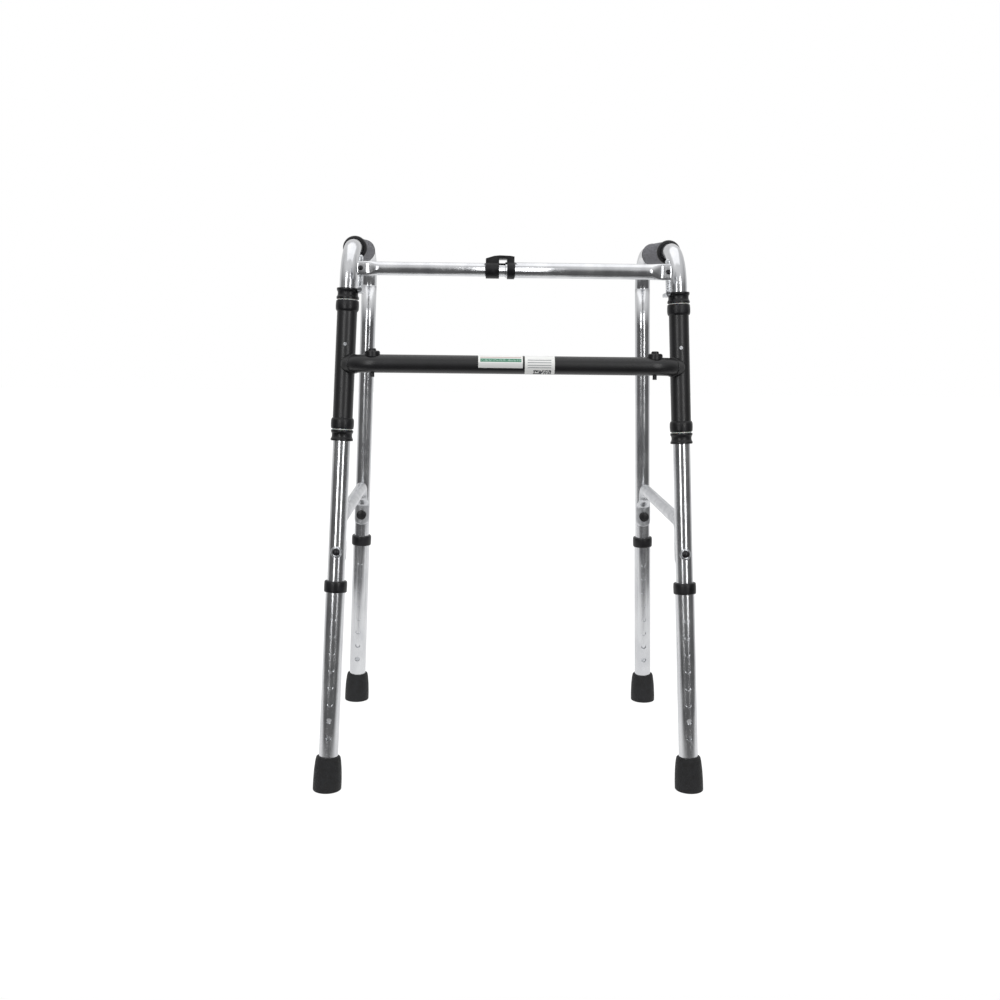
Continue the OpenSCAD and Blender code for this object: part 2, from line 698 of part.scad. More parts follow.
crossbar();
hinge_sleeve(-1);  // left_hinge_sleeve
hinge_sleeve(1);  // right_hinge_sleeve
sleeve_bushings(-1);  // left_sleeve_bushings
sleeve_bushings(1);  // right_sleeve_bushings
crossbar_socket(-1);  // left_crossbar_socket
crossbar_socket(1);  // right_crossbar_socket
swivel_bracket(-1);  // left_swivel_bracket
swivel_bracket(1);  // right_swivel_bracket
top_bar_inner_tube();
top_bar_outer_tube();
top_bar_rivets();
button_guide(-1);  // left_button_guide
button_guide(1);  // right_button_guide
left_label();
right_label();
sleeve_screws();
thrust_washers();
release_button(-1);  // left_release_button
release_button(1);  // right_release_button
release_spring(-1);  // left_release_spring
release_spring(1);  // right_release_spring
lock_pin(-1);  // left_lock_pin
lock_pin(1);  // right_lock_pin
bar_clip();
side_tube(-1);  // left_side_tube
side_tube(1);  // right_side_tube
grip(-1);  // left_grip
grip(1);  // right_grip
grip_flange(-1);  // left_grip_flange
grip_flange(1);  // right_grip_flange
brace(-1);  // left_brace
brace(1);  // right_brace
brace_bolts(-1);  // left_brace_bolts
brace_bolts(1);  // right_brace_bolts
bolt_caps(-1);  // left_bolt_caps
bolt_caps(1);  // right_bolt_caps
stop_collar(-1);  // left_stop_collar
stop_collar(1);  // right_stop_collar
snap_springs(-1);  // left_snap_springs
snap_springs(1);  // right_snap_springs
on_front_leg(-1) lower_leg(front_collar_h);  // left_front_lower_leg
on_front_leg(1) lower_leg(front_collar_h);  // right_front_lower_leg
on_rear_leg(-1) lower_leg(rear_collar_h);  // left_rear_lower_leg
on_rear_leg(1) lower_leg(rear_collar_h);  // right_rear_lower_leg
on_front_leg(-1) leg_collar(front_collar_h);  // left_front_leg_collar
on_front_leg(1) leg_collar(front_collar_h);  // right_front_leg_collar
on_rear_leg(-1) leg_collar(rear_collar_h);  // left_rear_leg_collar
on_rear_leg(1) leg_collar(rear_collar_h);  // right_rear_leg_collar
front_foot(-1);  // left_front_foot
front_foot(1);  // right_front_foot
rear_foot(-1);  // left_rear_foot
rear_foot(1);  // right_rear_foot
on_front_leg(-1) snap_button();  // left_front_snap_button
on_front_leg(1) snap_button();  // right_front_snap_button
on_rear_leg(-1) snap_button();  // left_rear_snap_button
on_rear_leg(1) snap_button();  // right_rear_snap_button
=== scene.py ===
"""Looks of the folding walking frame: surfaces for its turned, bent and pressed pieces, and its finishes."""

import json
import math

import bpy
import numpy as np
from mathutils import Matrix, Vector


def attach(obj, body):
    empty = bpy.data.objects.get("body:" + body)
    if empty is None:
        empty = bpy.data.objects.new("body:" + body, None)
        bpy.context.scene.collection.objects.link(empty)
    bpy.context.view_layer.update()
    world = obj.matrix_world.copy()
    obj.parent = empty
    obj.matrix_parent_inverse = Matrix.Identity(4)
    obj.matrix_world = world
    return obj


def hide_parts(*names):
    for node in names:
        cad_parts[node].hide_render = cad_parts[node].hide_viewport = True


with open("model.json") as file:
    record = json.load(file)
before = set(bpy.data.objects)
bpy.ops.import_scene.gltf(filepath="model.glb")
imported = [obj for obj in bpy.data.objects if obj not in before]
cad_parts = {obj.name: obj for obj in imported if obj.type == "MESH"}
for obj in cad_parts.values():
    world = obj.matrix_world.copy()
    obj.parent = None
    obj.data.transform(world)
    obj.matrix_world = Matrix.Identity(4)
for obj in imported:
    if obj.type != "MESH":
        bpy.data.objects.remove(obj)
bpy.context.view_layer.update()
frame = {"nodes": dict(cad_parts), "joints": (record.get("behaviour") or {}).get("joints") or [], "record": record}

MM = 0.001
LEG_R = 12.7
LOWER_R = 14.3
SIDES = ("left", "right")
ENDS = ("front", "rear")


# ---------- colours and nodes ----------


def paint(code):
    """Linear colour of an sRGB hex code."""
    parts = [int(code[i : i + 2], 16) / 255 for i in (1, 3, 5)]
    linear = [p / 12.92 if p <= 0.04045 else ((p + 0.055) / 1.055) ** 2.4 for p in parts]
    return (*linear, 1.0)


def add(tree, kind, inputs=None, **settings):
    """Adds one node with its settings; an input is either a value or the output that feeds it."""
    node = tree.nodes.new(kind)
    for key, value in settings.items():
        setattr(node, key, value)
    for key, value in (inputs or {}).items():
        if isinstance(value, bpy.types.NodeSocket):
            tree.links.new(value, node.inputs[key])
        else:
            node.inputs[key].default_value = value
    return node


def blank(name, **shader):
    """New material with one Principled shader whose constant inputs are set on its own sockets."""
    material = bpy.data.materials.new(name)
    material.use_nodes = True
    tree = material.node_tree
    tree.nodes.clear()
    body = add(tree, "ShaderNodeBsdfPrincipled", shader)
    add(tree, "ShaderNodeOutputMaterial", {"Surface": body.outputs[0]})
    place = add(tree, "ShaderNodeTexCoord").outputs["Object"]
    return material, tree, body, place


def noise(tree, place, size_mm, stretch=(1, 1, 1), detail=3, rough=0.5):
    """Noise whose features are about size_mm across, drawn out along an axis by its stretch."""
    scaled = add(tree, "ShaderNodeMapping", {"Vector": place, "Scale": [1 / s for s in stretch]})
    inputs = {"Vector": scaled.outputs[0], "Scale": 1 / (size_mm * MM), "Detail": detail, "Roughness": rough}
    return add(tree, "ShaderNodeTexNoise", inputs).outputs[0]


def spread(tree, value, low, high, from_low=0.3, from_high=0.7):
    """A 0 to 1 pattern brought to the range low to high."""
    inputs = {"Value": value, "From Min": from_low, "From Max": from_high, "To Min": low, "To Max": high}
    return add(tree, "ShaderNodeMapRange", inputs).outputs[0]


def raise_surface(tree, body, height, depth_mm, strength=1.0):
    """Bump of a real depth on the shader's normal."""
    bump = add(tree, "ShaderNodeBump", {"Height": height, "Distance": depth_mm * MM, "Strength": strength})
    tree.links.new(bump.outputs[0], body.inputs["Normal"])
    return bump


def tint(tree, body, value, dark, light, low=0.35, high=0.65):
    """Base colour that runs between two hex codes with a 0 to 1 pattern."""
    ramp = add(tree, "ShaderNodeValToRGB", {"Fac": value})
    ramp.color_ramp.elements[0].position, ramp.color_ramp.elements[1].position = low, high
    ramp.color_ramp.elements[0].color, ramp.color_ramp.elements[1].color = paint(dark), paint(light)
    tree.links.new(ramp.outputs[0], body.inputs["Base Color"])
    return ramp


# ---------- finishes ----------


def polished_aluminium():
    """Drawn and polished aluminium tube: a mirror with hair-fine lines along the tube and a few smudges."""
    material, tree, body, place = blank("polished_aluminium_tube", Metallic=1.0)
    lines = noise(tree, place, 0.7, (1, 1, 60), 2)
    smudge = noise(tree, place, 24, (1, 1, 2), 4)
    tint(tree, body, smudge, "#c9cacd", "#d8d9db")
    both = add(tree, "ShaderNodeMath", {0: lines, 1: smudge}, operation="MULTIPLY")
    tree.links.new(spread(tree, both.outputs[0], 0.15, 0.27, 0.15, 0.4), body.inputs["Roughness"])
    raise_surface(tree, body, lines, 0.02, 0.25)
    return material


def satin_aluminium():
    """Brace tube, pressed flat at its ends and tumbled: soft grey with short scratches."""
    material, tree, body, place = blank("tumbled_aluminium_brace", Metallic=1.0)
    grain = noise(tree, place, 1.2, (1, 9, 1), 4)
    patch = noise(tree, place, 16, (1, 1, 1), 3)
    tint(tree, body, patch, "#bfc1c4", "#d2d3d6")
    tree.links.new(spread(tree, grain, 0.26, 0.44), body.inputs["Roughness"])
    raise_surface(tree, body, grain, 0.04, 0.35)
    return material


def black_enamel():
    """Stove-enamelled steel tube: near black under a clear gloss with a faint orange peel."""
    shader = {"Roughness": 0.42, "Specular IOR Level": 0.45, "Coat Weight": 0.25, "Coat Roughness": 0.3}
    material, tree, body, place = blank("black_stove_enamel", **shader)
    peel = noise(tree, place, 2.5, (1, 1, 1), 2)
    dust = noise(tree, place, 30, (1, 1, 1), 5)
    tint(tree, body, dust, "#0a0a0c", "#131316")
    raise_surface(tree, body, peel, 0.03, 0.3)
    return material


def moulded_nylon():
    """Injection-moulded black nylon: satin, with a fine spark-eroded grain and slightly paler scuffs."""
    material, tree, body, place = blank("moulded_black_nylon", **{"Specular IOR Level": 0.4})
    grain = noise(tree, place, 0.9, (1, 1, 1), 3)
    scuff = noise(tree, place, 9, (1, 1, 1), 4)
    tint(tree, body, scuff, "#09090b", "#16161a")
    tree.links.new(spread(tree, scuff, 0.3, 0.48), body.inputs["Roughness"])
    raise_surface(tree, body, grain, 0.05, 0.4)
    return material


def grip_vinyl():
    """Moulded vinyl grip: mid grey with a leathery grain of small pits, a little coarse so that it shows."""
    material, tree, body, place = blank("grained_grey_vinyl", **{"Specular IOR Level": 0.35})
    pits = add(tree, "ShaderNodeTexVoronoi", {"Vector": place, "Scale": 1 / (1.5 * MM)}, feature="F1")
    speckle = noise(tree, place, 0.8, (1, 1, 1), 2)
    mixed = add(tree, "ShaderNodeMath", {0: pits.outputs["Distance"], 1: speckle}, operation="MULTIPLY")
    tint(tree, body, mixed.outputs[0], "#26262b", "#86868d", 0.16, 0.34)
    tree.links.new(spread(tree, speckle, 0.62, 0.8), body.inputs["Roughness"])
    raise_surface(tree, body, pits.outputs["Distance"], 0.3, 0.6)
    return material


def foot_rubber():
    """Moulded natural rubber: dull black with a knurl of small diamonds and some floor dust in it."""
    material, tree, body, place = blank("knurled_black_rubber", **{"Specular IOR Level": 0.35})
    inputs = {"Vector": place, "Scale": 1 / (2.2 * MM), "Randomness": 0.35}
    knurl = add(tree, "ShaderNodeTexVoronoi", inputs, feature="F1", distance="MANHATTAN")
    dust = noise(tree, place, 7, (1, 1, 1), 5)
    tint(tree, body, dust, "#070708", "#1c1d1f")
    tree.links.new(spread(tree, dust, 0.5, 0.72), body.inputs["Roughness"])
    raise_surface(tree, body, knurl.outputs["Distance"], 0.6, 0.9)
    return material


def zinc_plate():
    """Bright zinc-plated steel: cool silver with a brushed haze."""
    material, tree, body, place = blank("zinc_plated_steel", Metallic=1.0)
    haze = noise(tree, place, 1.4, (1, 1, 3), 3)
    tint(tree, body, haze, "#a9acb0", "#cfd1d4")
    tree.links.new(spread(tree, haze, 0.2, 0.36), body.inputs["Roughness"])
    raise_surface(tree, body, haze, 0.02, 0.3)
    return material


def black_zinc():
    """Black-passivated bolts and rivets: dark metal with worn paler edges."""
    material, tree, body, place = blank("black_passivated_steel", Metallic=0.6)
    wear = noise(tree, place, 2.0, (1, 1, 1), 4)
    tint(tree, body, wear, "#19191b", "#37373b")
    tree.links.new(spread(tree, wear, 0.25, 0.42), body.inputs["Roughness"])
    raise_surface(tree, body, wear, 0.03, 0.3)
    return material


def washer_nylon():
    """Natural nylon washers: milky white, waxy."""
    shader = {"Subsurface Weight": 0.1, "Subsurface Scale": 0.002}
    material, tree, body, place = blank("natural_nylon", **shader)
    cloud = noise(tree, place, 6, (1, 1, 1), 3)
    tint(tree, body, cloud, "#cfcfca", "#e2e2de")
    tree.links.new(spread(tree, cloud, 0.35, 0.5), body.inputs["Roughness"])
    return material


def step(tree, value, edge, rising=True):
    """1 on one side of an edge, 0 on the other."""
    way = "GREATER_THAN" if rising else "LESS_THAN"
    return add(tree, "ShaderNodeMath", {0: value, 1: edge}, operation=way).outputs[0]


def both(tree, a, b):
    return add(tree, "ShaderNodeMath", {0: a, 1: b}, operation="MULTIPLY").outputs[0]


def window(tree, value, low, high):
    """1 between two edges."""
    return both(tree, step(tree, value, low), step(tree, value, high, False))


def over(tree, base, code, mask):
    """Lays a plain colour over another where the mask is 1."""
    return add(tree, "ShaderNodeMix", {0: mask, 6: base, 7: paint(code)}, data_type="RGBA").outputs[2]


def label_film(name, left, bands, blocks):
    """Printed polyester film: white with plain bands across it and blocks of small random squares, in mm.

    A band is (x low, x high, z low, z high, colour); a block adds the side of its squares. x runs from the
    film's left edge and z from the floor."""
    material, tree, body, place = blank(name, Roughness=0.38)
    x, _, z = add(tree, "ShaderNodeSeparateXYZ", {"Vector": place}).outputs
    colour = add(tree, "ShaderNodeRGB").outputs[0]
    colour.default_value = paint("#f1f2f0")

    def area(x_low, x_high, z_low, z_high):
        wide = window(tree, x, (left + x_low) * MM, (left + x_high) * MM)
        return both(tree, wide, window(tree, z, z_low * MM, z_high * MM))

    for *box, code in bands:
        colour = over(tree, colour, code, area(*box))
    for *box, code, size in blocks:
        snap = {0: place, 1: (size * MM, 1.0, size * MM)}
        cell = add(tree, "ShaderNodeVectorMath", snap, operation="SNAP").outputs[0]
        lit = step(tree, add(tree, "ShaderNodeTexWhiteNoise", {"Vector": cell}).outputs[0], 0.45)
        colour = over(tree, colour, code, both(tree, area(*box), lit))
    tree.links.new(colour, body.inputs["Base Color"])
    raise_surface(tree, body, noise(tree, place, 3, (1, 1, 1), 2), 0.02, 0.2)
    return material


# ---------- places ----------


def unit(v):
    v = np.asarray(v, float)
    return v / np.linalg.norm(v)


joints = {j["name"]: j for j in frame["joints"]}
bases = {m["name"]: np.array(m["pos_m"]) for m in frame["record"]["mounts"]}


def leg_place(side, end):
    """Leg frame in mm: Z up the leg's axis from the floor, Y towards the back in the side frame's plane."""
    z = -unit(joints[f"{side}_{end}_height"]["axis"])
    y = -unit(joints[f"{side}_{end}_snap"]["axis"])
    m = np.eye(4)
    m[:3, 0], m[:3, 1], m[:3, 2] = np.cross(y, z), y, z
    m[:3, 3] = bases[f"{side}_{end}_foot_base"] / MM
    return m


def moved(m, x=0.0, y=0.0, z=0.0):
    """The same frame with its origin moved along its own axes, in mm."""
    out = m.copy()
    out[:3, 3] = m[:3, 3] + m[:3, :3] @ np.array([x, y, z])
    return out


def turned_about_x(m, angle):
    c, s = math.cos(angle), math.sin(angle)
    out = m.copy()
    out[:3, :3] = m[:3, :3] @ np.array([[1, 0, 0], [0, c, -s], [0, s, c]])
    return out


def into(m, points):
    """Points of a frame in mm, brought to the row frame in metres."""
    return (points @ m[:3, :3].T + m[:3, 3]) * MM


# ---------- surfaces ----------


def fan(ring):
    """Triangles from a ring's first point to each of its other sides."""
    return np.stack([np.full(len(ring) - 2, ring[0]), ring[1:-1], ring[2:]], axis=-1)


def volume(points, triangles):
    """Signed volume inside a closed mesh, by the divergence theorem."""
    a, b, c = (points - points.mean(axis=0))[triangles].transpose(1, 0, 2)
    return float(np.einsum("ij,ij->i", a, np.cross(b, c)).sum() / 6)


def skin(name, rings, slot, body, stands_for=(), ends="cap"):
    """Closed surface through rings of points (rows, points, 3), in metres, with a face on each end.

    With ends set to "loop" the last ring meets the first instead, as on a ring-shaped piece."""
    rows, count = rings.shape[:2]
    points = rings.reshape(-1, 3)
    near = np.arange(rows if ends == "loop" else rows - 1)[:, None]
    a = np.arange(count)[None, :]
    b = (a + 1) % count
    far = (near + 1) % rows
    here, beyond = near * count, far * count
    quads = np.stack([here + a, here + b, beyond + b, beyond + a], axis=-1).reshape(-1, 4)
    caps = [np.arange(count)[::-1], (rows - 1) * count + np.arange(count)] if ends == "cap" else []
    mesh = bpy.data.meshes.new(name)
    mesh.from_pydata(points.tolist(), [], quads.tolist() + [cap.tolist() for cap in caps])
    mesh.validate()
    mesh.update()
    if volume(points, np.concatenate([quads[:, :3], quads[:, [0, 2, 3]], *map(fan, caps)])) < 0:
        mesh.flip_normals()
    mesh.polygons.foreach_set("use_smooth", [True] * len(mesh.polygons))
    mesh.materials.append(finish[slot])
    piece = bpy.data.objects.new(name, mesh)
    bpy.context.scene.collection.objects.link(piece)
    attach(piece, body)
    if stands_for:
        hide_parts(*stands_for)


def rounded(corners, steps=6):
    """Profile polygon (r, z, fillet) with each corner turned by a quadratic curve of its fillet's reach."""
    corners = np.array(corners, float)
    out = []
    t = np.linspace(0, 1, steps)[:, None]
    for i, (here, fillet) in enumerate(zip(corners[:, :2], corners[:, 2])):
        before, after = corners[i - 1, :2], corners[(i + 1) % len(corners), :2]
        if fillet == 0:
            out.append(here[None, :])
            continue
        start = here + unit(before - here) * min(fillet, np.linalg.norm(before - here) / 2)
        stop = here + unit(after - here) * min(fillet, np.linalg.norm(after - here) / 2)
        out.append((1 - t) ** 2 * start + 2 * t * (1 - t) * here + t**2 * stop)
    return np.concatenate(out)


def turned(name, profile, place, slot, body, stands_for=()):
    """Ring-shaped solid of revolution: (r cos a, r sin a, z) for a closed profile of (r, z)."""
    a = np.linspace(0, 2 * math.pi, 96, endpoint=False)[None, :]
    r, z = profile[:, :1], profile[:, 1:]
    rings = np.stack([r * np.cos(a), r * np.sin(a), np.broadcast_to(z, (len(profile), a.size))], axis=-1)
    skin(name, into(place, rings), slot, body, stands_for, ends="loop")


def arc_path(corners, bend_r, steps=24, straight=4):
    """Path (y, z) through corners, each rounded by an arc of bend_r, with the tangent at every point."""
    corners = np.array(corners, float)
    points, tangents = [], []
    last = corners[0]
    for i in range(1, len(corners)):
        way = unit(corners[i] - corners[i - 1])
        if i == len(corners) - 1:
            stop, turn = corners[i], 0.0
        else:
            onward = unit(corners[i + 1] - corners[i])
            turn = math.acos(float(np.clip(way @ onward, -1, 1)))
            stop = corners[i] - way * bend_r * math.tan(turn / 2)
        t = np.linspace(0, 1, straight + 1)[:-1, None]
        points.append(last + (stop - last) * t)
        tangents.append(np.repeat(way[None, :], straight, axis=0))
        if turn:
            side = np.array([-way[1], way[0]])
            sign = 1.0 if side @ onward > 0 else -1.0
            centre = stop + side * sign * bend_r
            b = np.linspace(0, turn, steps)[:, None]
            out = -side * sign
            points.append(centre + bend_r * (out * np.cos(b) + way * np.sin(b)))
            tangents.append(way * np.cos(b) - out * np.sin(b))
            last = points[-1][-1]
        else:
            points.append(stop[None, :])
            tangents.append(way[None, :])
    return np.concatenate(points), np.concatenate(tangents)


def swept_rings(path, tangents, r, sides=64):
    """Circles round a path in the Y-Z plane: p + r (sin a X + cos a N), N square to the tangent."""
    a = np.linspace(0, 2 * math.pi, sides, endpoint=False)
    normal = np.stack([np.zeros(len(path)), tangents[:, 1], -tangents[:, 0]], axis=-1)
    centre = np.stack([np.zeros(len(path)), path[:, 0], path[:, 1]], axis=-1)
    lateral = np.array([1.0, 0, 0])
    around = np.sin(a)[None, :, None] * lateral + np.cos(a)[None, :, None] * normal[:, None, :]
    return centre[:, None, :] + r * around


# ---------- the frame's own sizes, in mm ----------

LEG_TO_HEIGHT = 1 / (math.cos(math.radians(5.85)) * math.cos(math.radians(2.3)))
HANDLE_Z = 797 * LEG_TO_HEIGHT
BRACE_Z = 396 * LEG_TO_HEIGHT
CORNER_R = 58
TUBE_LOW = 60
GRIP = {"start": 73, "length": 140, "r": 17, "flange_r": 18.5, "flange": 6}
HINGE = {"low": 537, "high": 724, "bushing": 16, "r": 17}
COLLAR_Z = {"front": 304.5, "rear": 297.5}
BOLT_Z = {"front": 356, "rear": 346}
SPOOL = {"r": 16.4, "waist_r": 14.8, "height": 16, "gap": 1.6}
SOCKET = {"angle": 42, "z": 631.5, "start": 12, "r": 14.2, "skirt": 11, "wall_r": 14.0}
TOP_BAR = {"left": (9.7, 40), "right": (11.2, 14), "half": 228.6, "z": 767.3}
TOP_BAR |= {"nose": 4.0, "plate": 4.3, "rivet": 221.7}
SWIVEL = {"x": 19.0, "y": 26.0, "w": 3.4, "t": 2.8, "top": 788}
BRACE = {"r": 9.5, "bend": 16, "offset": 22.5, "plate_r": 13.95, "plate_half": 1.15, "low": 18, "span": 1.1}


# ---------- finishes by slot ----------

finish = {
    "polished_aluminium": polished_aluminium(),
    "satin_aluminium": satin_aluminium(),
    "black_paint": black_enamel(),
    "black_plastic": moulded_nylon(),
    "grip_vinyl": grip_vinyl(),
    "foot_rubber": foot_rubber(),
    "steel": zinc_plate(),
    "dark_steel": black_zinc(),
    "white_nylon": washer_nylon(),
}
finish["left_label"] = label_film(
    "printed_label_green",
    -52,
    [(3, 62, 641.6, 642.6, "#bfa7a2"), (3, 62, 635.9, 640.6, "#4d8a70"), (0, 64, 620, 634.5, "#dfe0df")],
    [(4, 61, 637, 639.6, "#8fb3a4", 1.2)],
)
finish["right_label"] = label_film(
    "printed_label_grey",
    15,
    [(4, 38, z, z + 1.0, "#8f9296") for z in (638.4, 635.0, 631.2, 627.8)],
    [(12, 38, 616, 625, "#3c3e42", 1.4)],
)

slots = {part["node"]: part["material_slot"] for part in frame["record"]["subparts"]}
for node, piece in frame["nodes"].items():
    for holder in piece.material_slots:
        holder.material = finish.get(node, finish.get(slots[node]))


# ---------- side frames ----------


def meeting(start, way, other, other_way):
    """Point where two lines in a plane cross."""
    t = np.linalg.solve(np.array([way, -np.asarray(other_way)]).T, np.asarray(other) - np.asarray(start))
    return np.asarray(start) + t[0] * np.asarray(way)


def side_plan(side):
    """Front leg frame, rear leg frame, and the rear leg's foot and direction in the side frame's plane."""
    front, rear = leg_place(side, "front"), leg_place(side, "rear")
    foot = front[:3, :3].T @ (rear[:3, 3] - front[:3, 3])
    way = front[:3, :3].T @ rear[:3, 2]
    return front, rear, foot[1:], unit(way[1:])


def side_tube(side):
    """Bent tube: front leg, handle level with the floor, rear leg, with two corners of one radius."""
    front, _, foot, way = side_plan(side)
    level = unit(foot)
    first = np.array([0.0, HANDLE_Z])
    second = meeting(first, level, foot, way)
    path, tangents = arc_path([(0.0, TUBE_LOW), first, second, foot + way * TUBE_LOW], CORNER_R, 40, 10)
    rings = swept_rings(path, tangents, LEG_R, 96)
    skin(f"{side}_bent_tube", into(front, rings), "polished_aluminium", f"{side}_side", [f"{side}_side_tube"])


def handle(side):
    """Grip with softened ends, its flange in front and a thin rim behind."""
    front, _, foot, _ = side_plan(side)
    axis = turned_about_x(moved(front, z=HANDLE_Z), math.atan2(foot[1], foot[0]) - math.pi / 2)
    start, stop, r = GRIP["start"], GRIP["start"] + GRIP["length"], GRIP["r"]
    inner = LEG_R + 0.02
    body = f"{side}_side"
    rim, flange_r = stop - 3, GRIP["flange_r"]
    sleeve = rounded([(inner, start, 0), (r, start, 1), (r, rim, 1), (inner, rim, 0)])
    turned(f"{side}_grip_sleeve", sleeve, axis, "grip_vinyl", body, [f"{side}_grip"])
    edge = rounded([(inner, rim, 0), (r + 0.5, rim, 0.8), (r + 0.5, stop, 1.2), (inner, stop, 0)])
    turned(f"{side}_grip_rim", edge, axis, "black_plastic", body)
    near, far = start - GRIP["flange"], start - 0.05
    flange = [(flange_r - 1.2, near, 1.6), (flange_r, start - 2, 2), (flange_r - 0.6, far, 1)]
    flange = rounded([(inner, near, 0), *flange, (inner, far, 0)])
    turned(f"{side}_grip_collar", flange, axis, "black_plastic", body, [f"{side}_grip_flange"])


def spool_profile(low):
    """Collar with two rims and a hollow waist."""
    inner, r, waist, top = LEG_R + 0.05, SPOOL["r"], SPOOL["waist_r"], low + SPOOL["height"]
    lower = [(inner, low, 0), (r, low, 1), (r, low + 3, 0.8), (waist, low + 5.5, 2)]
    upper = [(waist, top - 5.5, 2), (r, top - 3, 0.8), (r, top, 1), (inner, top, 0)]
    return rounded(lower + upper)


def hinge(side):
    """Bulged bushing at each end of the hinge sleeve, and the stop collar under it."""
    front = leg_place(side, "front")
    inner, r, h = LEG_R + 0.08, HINGE["r"], HINGE["bushing"]
    bulge = [(r - 0.6, 0, 1.5), (r, h * 0.4, 3), (r - 0.2, h - 3, 1.5), (r - 1.6, h, 1)]
    for name, low, up in (("lower", HINGE["low"], 1), ("upper", HINGE["high"], -1)):
        profile = rounded([(inner, 0, 0), *bulge, (inner, h, 0)]) * np.array([1, up]) + np.array([0, low])
        stands_for = [f"{side}_sleeve_bushings"] if name == "lower" else ()
        turned(f"{side}_{name}_bushing", profile, front, "black_plastic", "cross_frame", stands_for)
    stop = spool_profile(HINGE["low"] - SPOOL["gap"] - SPOOL["height"])
    turned(f"{side}_stop_spool", stop, front, "black_plastic", f"{side}_side", [f"{side}_stop_collar"])


def swivel(side):
    """Collar that turns on the leg above the sleeve, and the bright strip that rises from it to the top bar.

    Strip: a superellipse (w sgn c |c|^0.4, t sgn v |v|^0.4), with c = cos a and v = sin a, carried along a
    bent path and rounded off at its top."""
    front = leg_place(side, "front")
    low = HINGE["high"] + SPOOL["gap"]
    stands_for = [f"{side}_swivel_bracket"]
    turned(f"{side}_swivel_spool", spool_profile(low), front, "black_plastic", "cross_frame", stands_for)
    up = -unit(joints[f"{side}_release"]["axis"])
    post = front.copy()
    post[:3, 1] = [0, up[2], -up[1]]
    post[:3, 0] = unit(np.cross(post[:3, 1], front[:3, 2]))
    sign = -1 if side == "left" else 1
    corners = [(-3.0, low + 11.5), (-SWIVEL["y"], low + 11.5), (-SWIVEL["y"], SWIVEL["top"] - 0.1)]
    path, tangents = arc_path(corners, 5, 12, 24)
    height = path[:, 1:]
    ease = np.sqrt(np.clip(1 - np.clip((height - SWIVEL["top"] + 5) / 5, 0, 1) ** 2, 0.02, 1))
    wide = SWIVEL["w"] + 1.6 * np.clip((path[:, :1] + 20) / 8, 0, 1)
    a = np.linspace(0, 2 * math.pi, 48, endpoint=False)[None, :]
    x = -sign * SWIVEL["x"] + wide * ease * np.sign(np.cos(a)) * np.abs(np.cos(a)) ** 0.4
    thick = SWIVEL["t"] * ease * np.sign(np.sin(a)) * np.abs(np.sin(a)) ** 0.4
    rings = np.stack([x, path[:, :1] + thick * tangents[:, 1:], height - thick * tangents[:, :1]], axis=-1)
    skin(f"{side}_swivel_strip", into(post, rings), "steel", "cross_frame")


def dimple(side):
    """Bright rim round the bolt of the front leg: a ring laid on the tube, y = -sqrt((R + lift)^2 - x^2)."""
    profile = rounded([(5.0, 0.05, 0), (5.0, 0.9, 0.2), (6.6, 1.1, 0.8), (8.6, 0.15, 0.4), (8.6, 0.05, 0)])
    a = np.linspace(0, 2 * math.pi, 64, endpoint=False)[None, :]
    x, z = profile[:, :1] * np.cos(a), profile[:, :1] * np.sin(a)
    y = -np.sqrt((LEG_R + profile[:, 1:]) ** 2 - x**2)
    rings = np.stack([x, y, BOLT_Z["front"] + z], axis=-1)
    skin(f"{side}_bolt_rim", into(leg_place(side, "front"), rings), "steel", f"{side}_side", ends="loop")


def front_plane_axes():
    """Across, back and up of the plane that holds both front legs."""
    up = -unit(joints["left_release"]["axis"])
    return np.array([1.0, 0, 0]), np.array([0, up[2], -up[1]]), up


def crossbar_end(side):
    """Rounded end of the cross tube's socket, which laps over the front of its sleeve.

    Half ball, then a straight skirt, about the tube's axis: r(s) = sqrt(R^2 - s^2) for s < 0 and R beyond.
    What would lie inside the sleeve moves along the axis to the middle of the sleeve's wall."""
    front = leg_place(side, "front")
    across, back, up = front_plane_axes()
    turn, wall, r, skirt = math.radians(SOCKET["angle"]), SOCKET["wall_r"], SOCKET["r"], SOCKET["skirt"]
    inward = across if side == "left" else -across
    way = inward * math.sin(turn) - back * math.cos(turn)
    hinge_point = front[:3, 3] + front[:3, 2] * SOCKET["z"]
    ball = -r * np.cos(np.linspace(0.03, math.pi / 2, 24))
    s = np.concatenate([ball, np.linspace(0.6, skirt - 1, 12), [skirt - 0.4, skirt]])
    radius = np.where(s < 0, np.sqrt(np.clip(r * r - s * s, 0, None)), r)
    radius[-1] -= 0.6
    a = np.linspace(0, 2 * math.pi, 72, endpoint=False)
    lateral = unit(np.cross(up, way))
    around = np.cos(a)[None, :, None] * up + np.sin(a)[None, :, None] * lateral
    points = hinge_point + (SOCKET["start"] + s)[:, None, None] * way + radius[:, None, None] * around
    axis = front[:3, 2]
    level = points - hinge_point - ((points - hinge_point) @ axis)[..., None] * axis
    flat_way = way - (way @ axis) * axis
    along, length = level @ flat_way, flat_way @ flat_way
    under_root = along**2 - length * ((level**2).sum(axis=-1) - wall**2)
    push = (-along + np.sqrt(np.clip(under_root, 0, None))) / length
    inside = (level**2).sum(axis=-1) < wall**2
    points = points + np.where(inside, push, 0)[..., None] * way
    node = f"{side}_crossbar_socket"
    skin(f"{side}_crossbar_end", points * MM, slots[node], "cross_frame", [node])


